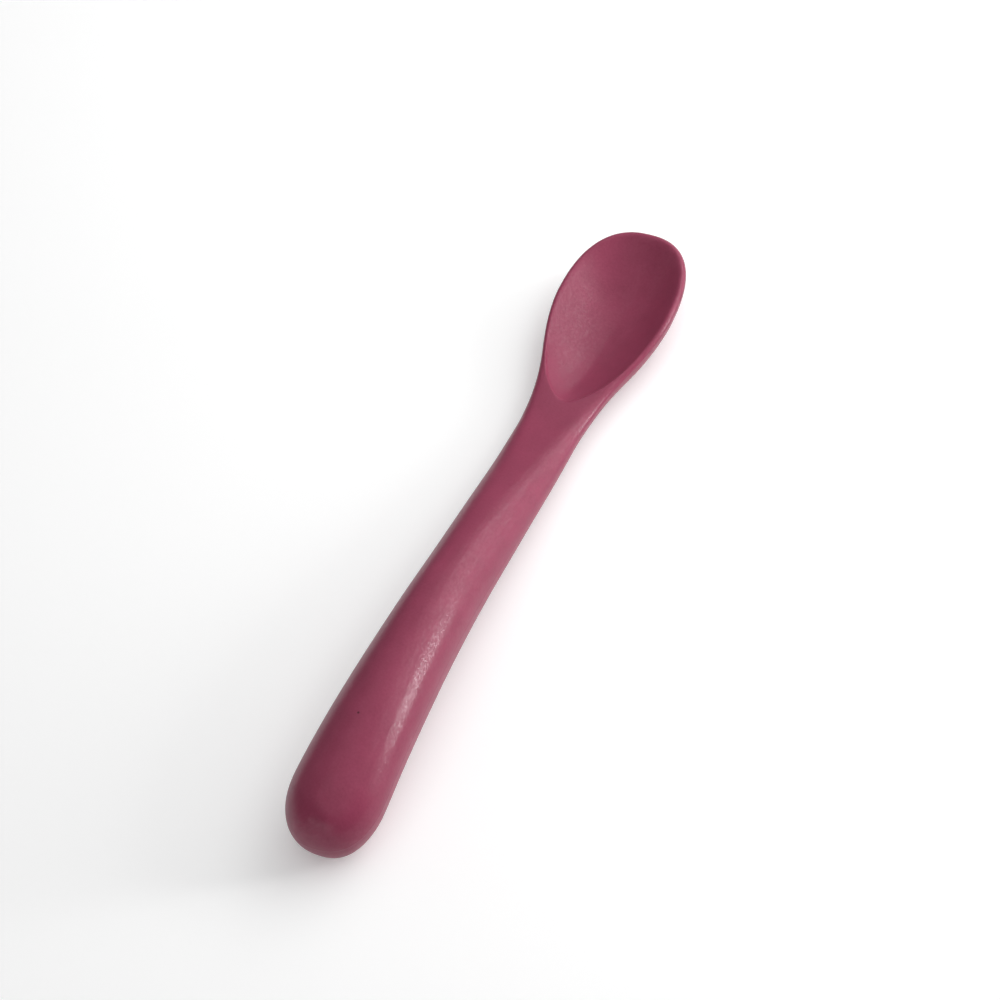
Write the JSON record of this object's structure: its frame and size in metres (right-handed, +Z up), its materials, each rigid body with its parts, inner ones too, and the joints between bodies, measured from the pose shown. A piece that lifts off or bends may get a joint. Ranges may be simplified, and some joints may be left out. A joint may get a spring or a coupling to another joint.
{
  "type": "baby spoon",
  "caption": "Soft one-piece silicone feeding spoon with a shallow teardrop bowl, a slim flat-topped neck and a plump rounded grip, moulded over a hidden rigid stiffener.",
  "frame": {"origin": "under the middle of the spoon, on the surface that it lies on: the middle of its length and width, at its lowest level", "axes": "+X along the spoon towards the bowl's tip, +Y to the left seen from the handle's end, +Z up out of the bowl"},
  "size_m": [0.15, 0.0248, 0.0176],
  "materials": {
    "silicone": "satin matte moulded silicone, dusty rose",
    "stiffener_nylon": "natural moulded nylon"
  },
  "bodies": {
    "root": {"silicone_body": "silicone", "stiffener": "stiffener_nylon"}
  },
  "joints": []
}
